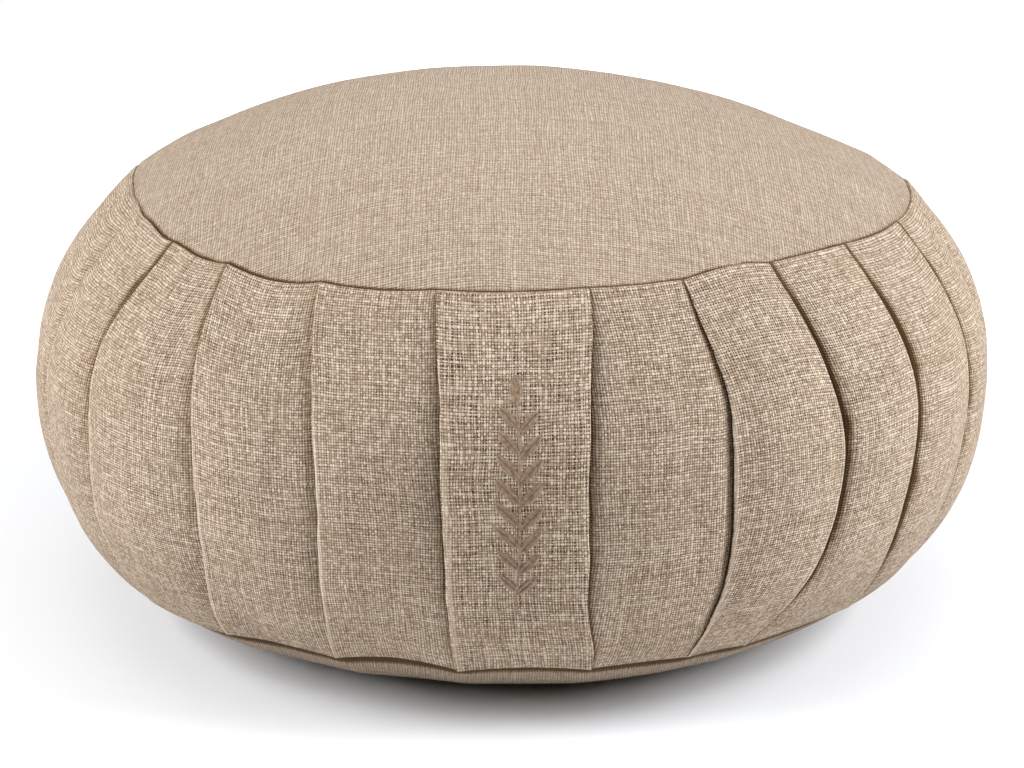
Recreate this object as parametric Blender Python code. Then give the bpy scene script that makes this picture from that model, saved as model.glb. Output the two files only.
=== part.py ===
"""A round meditation cushion: a knife-pleated side, two round panels and a raised centre-front strip.

Metres, +Z up. The origin is on the surface that the cushion stands on, under the middle of the cushion.
Angles are degrees about +Z from the front (-Y), and grow towards +X.
Down the side, a share of 0 is the top seam and a share of 1 is the bottom seam.
"""

import math
from collections import namedtuple

import bmesh
import bpy

# Driving sizes of the filled cushion
BELLY_RADIUS = 0.1768
BELLY_Z = 0.089
TOP_SEAM_RADIUS = 0.151
TOP_SEAM_Z = 0.1525
CROWN_RISE = 0.039
BOTTOM_SEAM_RADIUS = 0.155
BOTTOM_SEAM_Z = 0.0230
BOTTOM_DROP = 0.0260

# How full each curve is: 2 is a parabola, more is squarer
CROWN_FULLNESS = 2.5
SHOULDER_FULLNESS = 1.95
HIP_FULLNESS = 2.55
BOTTOM_FULLNESS = 6.0

# How soon a seam's dips and rises fade into the round panels: more is sooner
DIP_FADE = 6
RISE_FADE = 2

# Cloth
SHEET = 0.0020
STRIP_THICKNESS = 0.0024
GAP = 0.0003
PANEL_CROWN = 0.0018
FOLD_HALF_WIDTH = 0.22
SEAM_LIFT_SHARE = 0.30

# Fineness of the faceted cloth
SIDE_ROWS = 11
PANEL_COLUMNS = 4
CROWN_RINGS = (0.30, 0.55, 0.76, 0.91, 1.0)
UNDER_RINGS = (0.80, 0.90, 0.96, 1.0)

# One row a fold. Five angles run down the fold from the top seam to the bottom seam.
# faces is where the fold's edge points: -1 towards smaller angles, 1 towards larger ones.
# lift is how far the upper cloth stands off the lower, and the last two columns shape the seams
# of the panel that starts at this fold: how far the top seam dips and the bottom seam rises there.
Fold = namedtuple("Fold", "name top upper belly lower bottom faces lift seam_dip hem_rise")
FRONT_FOLDS = (
    Fold("far_left", -65.5, -68.0, -68.5, -69.0, -69.5, -1, 0.0018, 0.0008, 0.0),
    Fold("left_3", -50.3, -54.3, -54.3, -55.0, -53.5, -1, 0.0026, 0.0014, 0.0),
    Fold("left_2", -38.2, -37.0, -35.5, -36.0, -38.2, -1, 0.0034, 0.0024, 0.0014),
    Fold("left_1", -23.8, -21.6, -20.4, -20.6, -22.2, -1, 0.0034, 0.0010, 0.0036),
    Fold("strip_left", -8.8, -7.4, -7.0, -7.0, -6.6, -1, 0.0, 0.0006, 0.0026),
    Fold("strip_right", 9.5, 8.5, 7.8, 8.3, 9.9, 1, 0.0, 0.0002, 0.0006),
    Fold("right_1", 21.8, 23.7, 23.8, 23.7, 22.4, -1, 0.0036, -0.0020, 0.0006),
    Fold("right_2", 34.8, 37.5, 38.0, 35.9, 30.9, 1, 0.0042, -0.0004, 0.0008),
    Fold("right_3", 49.2, 51.0, 50.8, 49.2, 50.0, 1, 0.0044, 0.0006, 0.0),
    Fold("right_4", 65.2, 67.0, 66.0, 63.7, 62.5, 1, 0.0044, 0.0004, 0.0),
    Fold("far_right", 78.0, 81.0, 80.0, 78.0, 76.5, 1, 0.0040, 0.0006, 0.0),
)

# How far the filling draws the top seam in over the crown, and pushes the bottom seam out, round the cushion
SeamKnot = namedtuple("SeamKnot", "angle distance")
TOP_SEAM_PULLS = (
    SeamKnot(-180, 0.0020),
    SeamKnot(-125, 0.0040),
    SeamKnot(-100, 0.0085),
    SeamKnot(-80, 0.0100),
    SeamKnot(-72, 0.0090),
    SeamKnot(-62, 0.0062),
    SeamKnot(-50.8, 0.0023),
    SeamKnot(-38, 0.0),
    SeamKnot(-24, -0.0012),
    SeamKnot(-9, -0.0009),
    SeamKnot(9.5, -0.0002),
    SeamKnot(22, 0.0003),
    SeamKnot(35, 0.0018),
    SeamKnot(49, 0.0020),
    SeamKnot(65, 0.0012),
    SeamKnot(80, 0.0015),
    SeamKnot(120, 0.0020),
    SeamKnot(180, 0.0020),
)
BOTTOM_SEAM_PUSHES = (
    SeamKnot(-180, 0.0),
    SeamKnot(-105, 0.0),
    SeamKnot(-75, 0.0015),
    SeamKnot(-58, 0.0032),
    SeamKnot(-44, 0.0036),
    SeamKnot(-30, 0.0012),
    SeamKnot(-15, 0.0006),
    SeamKnot(180, 0.0),
)

BACK_FOLD_COUNT = 14
BACK_SWING = 1.2
BACK_LIFT = 0.0036
BACK_SEAM_DIP = 0.0010
FULL_TURN = 360.0
BACK_MIDDLE = 180.0

LINEN = (0.45, 0.35, 0.26, 1.0)
LINEN_TOP = (0.52, 0.42, 0.32, 1.0)
LINEN_STRIP = (0.40, 0.31, 0.22, 1.0)
CLOTH_ROUGHNESS = 0.9


def back_folds():
    """The even folds round the back, between the two outermost front ones."""
    start, end = FRONT_FOLDS[-1], FRONT_FOLDS[0]
    folds = []
    for step in range(1, BACK_FOLD_COUNT + 1):
        share = step / (BACK_FOLD_COUNT + 1)
        angle = start.top + share * (end.top + FULL_TURN - start.top)
        swing = BACK_SWING * math.sin(2.4 * step)
        faces = 1 if angle < BACK_MIDDLE else -1
        folds.append(
            Fold(
                f"back_{step}",
                angle,
                angle + 0.6 * swing,
                angle + swing,
                angle + 0.6 * swing,
                angle,
                faces,
                BACK_LIFT,
                BACK_SEAM_DIP,
                0.0,
            )
        )
    return folds


def turned(fold, degrees):
    """The same fold, further round by a number of degrees."""
    moved = {key: getattr(fold, key) + degrees for key in ("top", "upper", "belly", "lower", "bottom")}
    return fold._replace(**moved)


def angle_down(fold, share):
    """The fold's angle at a share of the way down, on a smooth curve through its five angles."""
    knots = (fold.top, fold.upper, fold.belly, fold.lower, fold.bottom)
    place = share * (len(knots) - 1)
    low = min(int(place), len(knots) - 2)
    part = place - low
    before = knots[max(low - 1, 0)]
    start, end = knots[low], knots[low + 1]
    after = knots[min(low + 2, len(knots) - 1)]
    leave = (end - before) / 2
    arrive = (after - start) / 2
    return (
        start
        + part * leave
        + part**2 * (3 * (end - start) - 2 * leave - arrive)
        + part**3 * (leave + arrive - 2 * (end - start))
    )


def along_seam(knots, angle):
    """The distance at an angle in radians, on a smooth curve through the knots round a seam."""
    degrees = (math.degrees(angle) + FULL_TURN / 2) % FULL_TURN - FULL_TURN / 2
    for start, end in zip(knots, knots[1:]):
        if degrees <= end.angle:
            part = (degrees - start.angle) / (end.angle - start.angle)
            return start.distance + (end.distance - start.distance) * part * part * (3 - 2 * part)
    return knots[-1].distance


Seam = namedtuple("Seam", "radius height")


def side_radius(height, top, bottom):
    """Radius of the bare side at a height between its two seams."""
    if height > BELLY_Z:
        share = (height - BELLY_Z) / (top.height - BELLY_Z)
        return BELLY_RADIUS - (BELLY_RADIUS - top.radius - GAP) * share**SHOULDER_FULLNESS
    share = (BELLY_Z - height) / (BELLY_Z - bottom.height)
    return BELLY_RADIUS - (BELLY_RADIUS - bottom.radius - GAP) * share**HIP_FULLNESS


def lift_share(share):
    """Folds stand off most at the belly and are drawn flat into the seams."""
    return SEAM_LIFT_SHARE + (1 - SEAM_LIFT_SHARE) * math.sin(math.pi * share)


def bulge(across):
    """0 at both folds of a panel, 1 half-way between them."""
    return 4 * across * (1 - across)


Column = namedtuple("Column", "start end across is_strip")


def columns_round():
    """Every column of the faceted cloth, in order round the cushion."""
    folds = list(FRONT_FOLDS) + back_folds()
    folds.append(turned(folds[0], FULL_TURN))
    columns = []
    for start, end in zip(folds, folds[1:]):
        for step in range(PANEL_COLUMNS):
            across = step / (PANEL_COLUMNS - 1)
            columns.append(Column(start, end, across, start.name == "strip_left"))
    return columns


def column_angle(column, share):
    """Radians round the cushion, a little short of the fold at each edge of a panel."""
    left = angle_down(column.start, share) + FOLD_HALF_WIDTH
    right = angle_down(column.end, share) - FOLD_HALF_WIDTH
    return math.radians(left + column.across * (right - left))


def column_offset(column, share):
    """How far the pleated cloth stands off the bare side in this column."""
    left = column.start.lift if column.start.faces < 0 else 0.0
    right = column.end.lift if column.end.faces > 0 else 0.0
    level = left + column.across * (right - left)
    return level * lift_share(share) + PANEL_CROWN * bulge(column.across) * math.sin(math.pi * share)


def seam_dip(column):
    """How far the top seam dips in this column."""
    return column.start.seam_dip * bulge(column.across)


def hem_rise(column):
    """How far the bottom seam rises in this column."""
    return column.start.hem_rise * bulge(column.across)


def top_seam(column):
    """The top seam in this column, which lies on the crown."""
    radius = TOP_SEAM_RADIUS - along_seam(TOP_SEAM_PULLS, column_angle(column, 0))
    return Seam(radius, crown_height(radius / TOP_SEAM_RADIUS) - seam_dip(column))


def bottom_seam(column):
    """The bottom seam in this column."""
    radius = BOTTOM_SEAM_RADIUS + along_seam(BOTTOM_SEAM_PUSHES, column_angle(column, 1))
    return Seam(radius, BOTTOM_SEAM_Z + hem_rise(column))


def point(radius, angle, height):
    return (radius * math.sin(angle), -radius * math.cos(angle), height)


def side_rings(columns, first_offset=0.0):
    """The rings down the side, from the top seam to the bottom seam."""
    rings = []
    for row in range(SIDE_ROWS + 1):
        share = row / SIDE_ROWS
        ring = []
        for column in columns:
            top = top_seam(column)
            bottom = bottom_seam(column)
            height = top.height + share * (bottom.height - top.height)
            radius = side_radius(height, top, bottom) + column_offset(column, share) + first_offset
            ring.append(point(radius, column_angle(column, share), height))
        rings.append(ring)
    return rings


def crown_height(part):
    """Height of the even crown at a part of the way out to the even top seam."""
    return TOP_SEAM_Z + CROWN_RISE * (1 - part**CROWN_FULLNESS)


def under_height(part, rise):
    """Height of the lower face of the bottom panel, flat where it rests."""
    if part <= flat_part():
        return 0.0
    lifted = (part - flat_part()) / (1 - flat_part())
    return BOTTOM_SEAM_Z - BOTTOM_DROP * (1 - part**BOTTOM_FULLNESS) + rise * lifted**RISE_FADE


def slope_stretch(rise, fullness, part, radius):
    """How much further apart two faces of a sloping sheet are when measured upright."""
    slope = rise * fullness * part ** (fullness - 1) / radius
    return math.hypot(1, slope)


def crown_rings(columns, depth, gap):
    """Rings of the crown out to a gap beyond the seam, a depth below the upper face."""
    rings = []
    for part in CROWN_RINGS:
        ring = []
        for column in columns:
            seam = top_seam(column).radius
            drawn = part * seam / TOP_SEAM_RADIUS
            drop = depth * slope_stretch(CROWN_RISE, CROWN_FULLNESS, drawn, TOP_SEAM_RADIUS)
            height = crown_height(drawn) - seam_dip(column) * part**DIP_FADE - drop
            ring.append(point(part * (seam + gap), column_angle(column, 0), height))
        rings.append(ring)
    return rings


def flat_part():
    """The part of the way out at which the bottom panel lifts off the surface."""
    return (1 - BOTTOM_SEAM_Z / BOTTOM_DROP) ** (1 / BOTTOM_FULLNESS)


def under_rings(columns, depth, gap):
    """Rings of the underside out to a gap beyond the seam, a depth above the lower face."""
    rings = []
    for part in (flat_part(),) + UNDER_RINGS:
        up = depth * slope_stretch(BOTTOM_DROP, BOTTOM_FULLNESS, part, BOTTOM_SEAM_RADIUS)
        ring = []
        for column in columns:
            height = under_height(part, hem_rise(column)) + up
            ring.append(point(part * (bottom_seam(column).radius + gap), column_angle(column, 1), height))
        rings.append(ring)
    return rings


def loft(name, rings, first_centre, last_centre, collection):
    """A closed solid through rings of equal length, capped by a fan to a centre point at each end."""
    mesh = bmesh.new()
    loops = [[mesh.verts.new(place) for place in ring] for ring in rings]
    for upper, lower in zip(loops, loops[1:]):
        for index, vertex in enumerate(upper):
            after = (index + 1) % len(upper)
            mesh.faces.new((vertex, lower[index], lower[after], upper[after]))
    for centre, loop in ((first_centre, loops[0]), (last_centre, loops[-1])):
        middle = mesh.verts.new(centre)
        for index, vertex in enumerate(loop):
            mesh.faces.new((middle, vertex, loop[(index + 1) % len(loop)]))
    return finished(name, mesh, collection)


def finished(name, mesh, collection):
    """An object of that mesh, its faces outwards, flat enough for exact facets and shaded smooth."""
    bmesh.ops.recalc_face_normals(mesh, faces=mesh.faces)
    bmesh.ops.triangulate(mesh, faces=mesh.faces)
    data = bpy.data.meshes.new(name)
    mesh.to_mesh(data)
    mesh.free()
    data.shade_smooth()
    data.set_sharp_from_angle(angle=math.radians(35))
    item = bpy.data.objects.new(name, data)
    collection.objects.link(item)
    return item


def dress(item, colour):
    """Gives the object a plain cloth material of its own."""
    material = bpy.data.materials.new(item.name + "_cloth")
    material.use_nodes = True
    shader = material.node_tree.nodes["Principled BSDF"]
    shader.inputs["Base Color"].default_value = colour
    shader.inputs["Roughness"].default_value = CLOTH_ROUGHNESS
    shader.inputs["Metallic"].default_value = 0.0
    item.data.materials.append(material)


def make_pleated_side(columns, collection):
    """The filled solid: the pleated side, and a seat for each round panel."""
    inside = SHEET + GAP
    crown = crown_rings(columns, inside, GAP)
    under = under_rings(columns, inside, GAP)
    rings = crown + side_rings(columns) + under[::-1]
    top = (0, 0, TOP_SEAM_Z + CROWN_RISE - inside)
    return loft("pleated_side", rings, top, (0, 0, inside), collection)


def make_top_panel(columns, collection):
    """The domed upper panel, a sheet that ends at the top seam."""
    upper = crown_rings(columns, 0.0, 0.0)
    lower = crown_rings(columns, SHEET, 0.0)
    top = TOP_SEAM_Z + CROWN_RISE
    return loft("top_panel", upper + lower[::-1], (0, 0, top), (0, 0, top - SHEET), collection)


def make_bottom_panel(columns, collection):
    """The lower panel, a bulging sheet with a flat spot on the surface."""
    upper = under_rings(columns, SHEET, 0.0)
    lower = under_rings(columns, 0.0, 0.0)
    return loft("bottom_panel", upper + lower[::-1], (0, 0, SHEET), (0, 0, 0), collection)


def make_front_strip(columns, collection):
    """The centre-front strip, a sheet that lies over the pleats on both sides."""
    strip = [column for column in columns if column.is_strip]
    inner = side_rings(strip, GAP)
    outer = side_rings(strip, GAP + STRIP_THICKNESS)
    mesh = bmesh.new()
    loops = [
        [mesh.verts.new(place) for place in front + back[::-1]] for front, back in zip(outer, inner)
    ]
    for upper, lower in zip(loops, loops[1:]):
        for index, vertex in enumerate(upper):
            after = (index + 1) % len(upper)
            mesh.faces.new((vertex, lower[index], lower[after], upper[after]))
    count = len(strip)
    for loop in (loops[0], loops[-1]):
        for index in range(count - 1):
            mesh.faces.new((loop[index], loop[index + 1], loop[-2 - index], loop[-1 - index]))
    return finished("front_strip", mesh, collection)


def clear_scene():
    for item in list(bpy.data.objects):
        bpy.data.objects.remove(item, do_unlink=True)


def main():
    clear_scene()
    collection = bpy.data.collections.new("meditation_cushion")
    bpy.context.scene.collection.children.link(collection)
    columns = columns_round()
    dress(make_pleated_side(columns, collection), LINEN)
    dress(make_top_panel(columns, collection), LINEN_TOP)
    dress(make_bottom_panel(columns, collection), LINEN)
    dress(make_front_strip(columns, collection), LINEN_STRIP)


main()
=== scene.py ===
"""Looks of a round, knife-pleated meditation cushion in natural linen.

Everything is in metres, +Z up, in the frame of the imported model. The front of the cushion faces -Y.
Angles round the cushion are measured from the front and grow towards +X. Down the side, a share of
0 is the top seam and a share of 1 is the bottom seam.
"""

import logging
import math
from collections.abc import Callable
from dataclasses import dataclass, field, replace
from enum import Enum

import bmesh
import bpy
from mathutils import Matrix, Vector, noise


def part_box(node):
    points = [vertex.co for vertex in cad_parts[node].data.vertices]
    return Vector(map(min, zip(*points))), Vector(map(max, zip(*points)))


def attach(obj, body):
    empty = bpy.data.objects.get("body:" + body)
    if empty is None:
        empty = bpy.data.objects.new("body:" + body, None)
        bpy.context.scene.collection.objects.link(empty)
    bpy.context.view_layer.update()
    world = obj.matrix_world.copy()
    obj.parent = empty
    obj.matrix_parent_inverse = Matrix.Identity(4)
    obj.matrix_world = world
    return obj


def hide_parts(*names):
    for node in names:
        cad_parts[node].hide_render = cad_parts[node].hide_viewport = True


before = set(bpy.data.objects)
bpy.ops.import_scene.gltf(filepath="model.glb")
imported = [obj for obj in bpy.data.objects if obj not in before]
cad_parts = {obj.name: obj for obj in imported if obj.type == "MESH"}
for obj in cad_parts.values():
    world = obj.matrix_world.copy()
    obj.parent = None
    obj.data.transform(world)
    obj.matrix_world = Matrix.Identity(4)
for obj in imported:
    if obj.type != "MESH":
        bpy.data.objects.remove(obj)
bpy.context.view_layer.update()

LOG = logging.getLogger("cushion")
MM = 0.001
CENTIMETRE = 0.01
MERGED = 0.01 * MM
FULL_TURN = 2 * math.pi
# Angles past this one lie left of the front again, one full turn further round.
WRAP_ANGLE = math.radians(290)
CLOTH_MAP = "cloth"
INSIDE_MAP = "inside"

Pair = tuple[float, float]
Triple = tuple[float, float, float]
Socket = bpy.types.NodeSocket
Feed = Socket | float


class FoldWay(Enum):
    """Which way the edge of a fold points, seen from the front."""

    LEFT = -1
    RIGHT = 1
    HIDDEN = 0


@dataclass(frozen=True)
class Pleat:
    """One fold down the side, and the panel that starts at it.

    Five angles in degrees run down the fold from the top seam to the bottom seam. The lengths are
    in millimetres.

    Attributes:
        way: where the fold's edge points.
        lift: how far the upper cloth stands off the bare side at the belly.
        lip: radius of the fold's rounded edge at the belly.
        valley: how far the lower cloth sinks beside the fold at the belly.
        reach: how far from the fold's edge that valley reaches.
        shade: how far from the fold's edge the painted shade on the lower cloth is darkest.
        dark: how dark that painted shade gets there, from 0 to 1.
        dark_to: how far down the side that painted shade starts to fade.
        seam_dip: how far the top seam dips in the panel that starts here.
        hem_rise: how far the bottom seam rises in that panel.
        puff: how far that panel bulges between its folds.
    """

    top: float
    upper: float
    belly: float
    lower: float
    bottom: float
    way: FoldWay
    lift: float
    lip: float
    valley: float
    reach: float
    shade: float
    dark: float
    dark_to: float
    seam_dip: float = 1.0
    hem_rise: float = 0.0
    puff: float = 1.8

    def angle(self, share: float) -> float:
        """The fold's angle in radians at a share of the way down.

        Args:
            share: 0 at the top seam, 1 at the bottom seam.

        Returns:
            The angle on a smooth curve through the five stated ones.
        """
        knots = (self.top, self.upper, self.belly, self.lower, self.bottom)
        place = min(max(share, 0.0), 1.0) * (len(knots) - 1)
        low = min(int(place), len(knots) - 2)
        part = place - low
        before, start = knots[max(low - 1, 0)], knots[low]
        end, after = knots[low + 1], knots[min(low + 2, len(knots) - 1)]
        leave, arrive = (end - before) / 2, (after - start) / 2
        bend = 3 * (end - start) - 2 * leave - arrive
        twist = leave + arrive - 2 * (end - start)
        return math.radians(start + part * leave + part**2 * bend + part**3 * twist)

    def turned(self) -> "Pleat":
        """The same fold, one full turn further round."""
        names = ("top", "upper", "belly", "lower", "bottom")
        return replace(self, **{name: getattr(self, name) + 360 for name in names})


L, R, H = FoldWay.LEFT, FoldWay.RIGHT, FoldWay.HIDDEN
FRONT_PLEATS = (
    #     top    upper  belly  lower  bottom way lift lip  valley reach shade dark to  dip rise puff
    Pleat(-65.5, -68.0, -68.5, -69.0, -69.5, L, 1.6, 0.5, 1.6, 5.0, 7.0, 0.25, 0.4, 0.8, 0.0, 1.8),
    Pleat(-50.3, -54.3, -54.3, -55.0, -53.5, L, 1.8, 0.6, 2.4, 5.0, 5.0, 0.55, 0.4, 1.4, 0.0, 2.4),
    Pleat(-38.2, -37.0, -35.5, -36.0, -38.2, L, 1.7, 0.6, 2.2, 5.0, 3.2, 0.46, 0.4, 2.4, 1.4, 2.2),
    Pleat(-23.8, -21.6, -20.4, -20.6, -22.2, L, 1.5, 0.6, 1.4, 3.6, 2.0, 0.34, 0.4, 1.0, 2.8, 1.8),
    Pleat(-8.8, -7.4, -7.0, -7.0, -6.6, H, 0.0, 0.0, 1.0, 3.0, 0.5, 0.6, 0.8, 0.6, 2.0, 1.2),
    Pleat(9.5, 8.5, 7.8, 8.3, 9.9, H, 0.0, 0.0, 1.4, 2.0, 0.6, 0.7, 0.9, 0.2, 0.6, 1.8),
    Pleat(21.8, 23.7, 23.8, 23.7, 22.4, L, 1.2, 0.6, 0.9, 2.4, 0.9, 0.5, 0.9, -2.0, 0.6, 2.2),
    Pleat(34.8, 37.5, 38.0, 35.9, 30.9, R, 1.4, 0.6, 3.0, 3.6, 2.9, 1.0, 0.85, -0.4, 0.8, 2.2),
    Pleat(49.2, 51.0, 50.8, 49.2, 50.0, R, 1.2, 0.5, 3.2, 4.2, 4.0, 1.0, 0.8, 0.6, 0.0, 2.4),
    Pleat(65.2, 67.0, 66.0, 63.7, 62.5, R, 1.0, 0.4, 3.2, 4.8, 4.0, 1.0, 0.8, 0.4, 0.0, 3.0),
    Pleat(78.0, 81.0, 80.0, 78.0, 76.5, R, 0.8, 0.35, 3.0, 4.6, 3.4, 0.9, 0.8, 0.6, 0.0, 3.2),
)

# Millimetres from a panel's end to its columns of corners there, by how the end lies.
OVER_COLUMNS = (0.0, 0.6, 1.4, 2.6, 4.2, 6.4)
TUCKED_COLUMNS = (0.0, 4.2, 6.2, 7.0, 7.7, 8.5, 9.6, 11.0, 13.0, 16.0)
HIDDEN_COLUMNS = (0.0, 0.8, 1.8, 3.0, 5.0)

# Metres of flat cloth: from panel to panel, across and down, and per row turned into a seam.
PANEL_STEP = (0.0731, 0.0117)
TURN_ROW = 0.5 * MM

# Degrees round from the front, and millimetres that the top seam is drawn in over the crown.
SEAM_PULLS = (
    (-180, 2.0), (-125, 4.0), (-100, 8.5), (-80, 10.0), (-72, 9.0), (-62, 6.2), (-50.8, 2.3),
    (-38, 0.0), (-24, -1.2), (-9, -0.9), (9.5, -0.2), (22, 0.3), (35, 1.8), (49, 2.0),
    (65, 1.2), (80, 1.5), (120, 2.0), (180, 2.0),
)

# Degrees round from the front, and millimetres that the bottom seam is pushed outwards.
HEM_PUSHES = (
    (-180, 0.0), (-105, 0.0), (-75, 1.5), (-58, 3.2), (-44, 3.6), (-30, 1.2), (-15, 0.6),
    (180, 0.0),
)

# Rows past the side's end over which painted shade darkens the cloth in a seam.
TOP_SEAM_REACH = (0.3, 3.0)
BOTTOM_SEAM_REACH = (0.0, 2.2)

# How strong the painted highlight on a fold's upper edge is, from 0 to 1, by the way that it points.
EDGE_HIGHLIGHT = {FoldWay.LEFT: 0.8, FoldWay.RIGHT: 0.35, FoldWay.HIDDEN: 0.0}


def back_pleats(count: int = 14, swing: float = 1.2) -> list[Pleat]:
    """The even folds round the back, between the two outermost front ones.

    Args:
        count: how many folds.
        swing: how far a fold may sway at the belly, in degrees.

    Returns:
        The folds in order of growing angle.
    """
    start, end = FRONT_PLEATS[-1].top, FRONT_PLEATS[0].top + 360
    pleats = []
    for step in range(1, count + 1):
        angle = start + (end - start) * step / (count + 1)
        sway = swing * math.sin(2.4 * step)
        upper = angle + 0.6 * sway
        pleats.append(Pleat(
            top=angle, upper=upper, belly=angle + sway, lower=upper, bottom=angle,
            way=FoldWay.RIGHT if angle < 180 else FoldWay.LEFT,
            lift=1.8 + 0.5 * math.sin(1.7 * step), lip=0.7,
            valley=3.0, reach=3.6, shade=2.2, dark=0.85, dark_to=0.85,
        ))
    return pleats


def along_seam(table: tuple[Pair, ...], angle: float) -> float:
    """A length in metres from a table of degrees and millimetres round a seam."""
    degrees = (math.degrees(angle) + 180) % 360 - 180
    for (start, low), (end, high) in zip(table, table[1:]):
        if degrees <= end:
            return MM * (low + (high - low) * smooth_step(start, end, degrees))
    return table[-1][1] * MM


@dataclass(frozen=True)
class CushionForm:
    """The bare filled shape that all the cloth lies on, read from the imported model."""

    belly_radius: float
    belly_z: float
    top_seam_radius: float
    top_seam_z: float
    crown_z: float
    bottom_seam_radius: float
    bottom_seam_z: float
    bottom_drop: float
    crown_fullness: float = 2.5
    shoulder_fullness: float = 1.95
    hip_fullness: float = 2.55
    bottom_fullness: float = 6.0

    @classmethod
    def from_frame(cls) -> "CushionForm":
        """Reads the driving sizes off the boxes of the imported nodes."""
        fold_room = 3.9 * MM
        belly_share = 0.51
        side_low, side_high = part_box("pleated_side")
        _, top_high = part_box("top_panel")
        _, bottom_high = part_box("bottom_panel")
        strip_low, strip_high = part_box("front_strip")
        return cls(
            belly_radius=(side_high.x - side_low.x) / 2 - fold_room,
            belly_z=strip_low.z + belly_share * (strip_high.z - strip_low.z),
            top_seam_radius=top_high.x + along_seam(SEAM_PULLS, FULL_TURN / 4),
            top_seam_z=strip_high.z,
            crown_z=top_high.z,
            bottom_seam_radius=bottom_high.x - along_seam(HEM_PUSHES, FULL_TURN / 4),
            bottom_seam_z=strip_low.z,
            bottom_drop=strip_low.z + 3 * MM,
        )

    def top_seam(self, angle: float) -> Pair:
        """Radius and height of the top seam at an angle, which lies on the crown."""
        radius = self.top_seam_radius - along_seam(SEAM_PULLS, angle)
        return radius, self.crown_height(radius / self.top_seam_radius)

    def bottom_seam(self, angle: float) -> float:
        """Radius of the bottom seam at an angle."""
        return self.bottom_seam_radius + along_seam(HEM_PUSHES, angle)

    def seam_radius(self, angle: float, up: int) -> float:
        """Radius of the top seam, for an up of 1, or of the bottom seam, for -1."""
        return self.top_seam(angle)[0] if up > 0 else self.bottom_seam(angle)

    def side_radius(self, height: float, top: float, bottom: float, seams: Pair) -> float:
        """Radius of the bare side at a height.

        Args:
            height: height above the surface.
            top: height of the top seam here.
            bottom: height of the bottom seam here.
            seams: radii of the top and the bottom seam here.

        Returns:
            The radius in metres.
        """
        if height > self.belly_z:
            share = min((height - self.belly_z) / (top - self.belly_z), 1.0)
            drawn = (self.belly_radius - seams[0]) * share**self.shoulder_fullness
        else:
            share = min((self.belly_z - height) / (self.belly_z - bottom), 1.0)
            drawn = (self.belly_radius - seams[1]) * share**self.hip_fullness
        return self.belly_radius - drawn

    def crown_height(self, part: float) -> float:
        """Height of the crown at a part of the way out to the top seam."""
        return self.top_seam_z + (self.crown_z - self.top_seam_z) * (1 - part**self.crown_fullness)

    def under_height(self, part: float) -> float:
        """Height of the underside at a part of the way out to the bottom seam."""
        return max(0.0, self.bottom_seam_z - self.bottom_drop * (1 - part**self.bottom_fullness))


def seam_shade(angle: float, is_top: bool) -> float:
    """How much painted shade a seam gets, from 0 to 1: less in the top one at the sides and back,
    where it is closed tighter.
    """
    turned = abs((math.degrees(angle) + 180) % 360 - 180)
    return 1 - 0.8 * smooth_step(52, 80, turned) if is_top else 1.0


def point(radius: float, angle: float, height: float) -> Vector:
    """A place in the frame from its radius, angle round from the front and height."""
    return Vector((radius * math.sin(angle), -radius * math.cos(angle), height))


def smooth_step(low: float, high: float, value: float) -> float:
    """0 below low, 1 above high, and a smooth rise between them."""
    part = min(max((value - low) / (high - low), 0.0), 1.0)
    return part * part * (3 - 2 * part)


def arch(share: float, power: float) -> float:
    """Rises from 0 at one end of a length to 1 in its middle and falls back to 0."""
    return math.sin(math.pi * min(max(share, 0.0), 1.0)) ** power


def ripple(first: float, second: float, seed: float) -> float:
    """Smooth noise from -1 to 1 on a plane, the same on each run."""
    return noise.noise(Vector((first, second, seed)))


@dataclass(frozen=True)
class Crease:
    """A soft trough or ridge placed on the side.

    Attributes:
        angle: degrees round from the front, at its middle.
        share: how far down its middle is.
        slant: degrees that it shifts sideways over its length.
        length: its length as a share of the side.
        width: half its width, in millimetres.
        depth: how deep it is, in millimetres; a ridge is negative.
    """

    angle: float
    share: float
    slant: float
    length: float
    width: float
    depth: float

    def sink(self, angle: float, share: float, radius: float) -> float:
        """How far the cloth sinks in at a place, in metres."""
        along = (share - self.share) / self.length
        if abs(along) > 1:
            return 0.0
        middle = math.radians(self.angle + self.slant * along)
        across = (angle - middle) * radius / (self.width * MM)
        if abs(across) > 3:
            return 0.0
        return self.depth * MM * math.exp(-across * across) * (1 - along * along) ** 2


CREASES = (
    Crease(-40.5, 0.20, 1.0, 0.26, 4.0, 1.5),
    Crease(-38.4, 0.62, 0.6, 0.30, 4.0, 0.9),
    Crease(-57.5, 0.16, -2.0, 0.20, 4.5, 0.9),
    Crease(-48.8, 0.08, -1.4, 0.16, 4.0, 0.8),
    Crease(-24.5, 0.45, 0.4, 0.40, 4.0, 0.9),
    Crease(-33.0, 0.90, 1.2, 0.14, 5.0, 0.9),
    Crease(-15.0, 0.93, 1.0, 0.12, 6.0, 1.0),
    Crease(19.4, 0.45, 0.8, 0.46, 4.5, 1.3),
    Crease(31.0, 0.84, -3.4, 0.18, 3.2, 0.7),
    Crease(27.0, 0.86, -2.4, 0.15, 3.0, 0.6),
    Crease(29.0, 0.06, 1.6, 0.10, 5.0, 0.9),
    Crease(44.0, 0.88, -4.0, 0.16, 3.6, 0.8),
    Crease(40.5, 0.90, -4.0, 0.12, 3.2, 0.6),
    Crease(58.0, 0.12, 2.0, 0.12, 4.0, 0.6),
)


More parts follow.
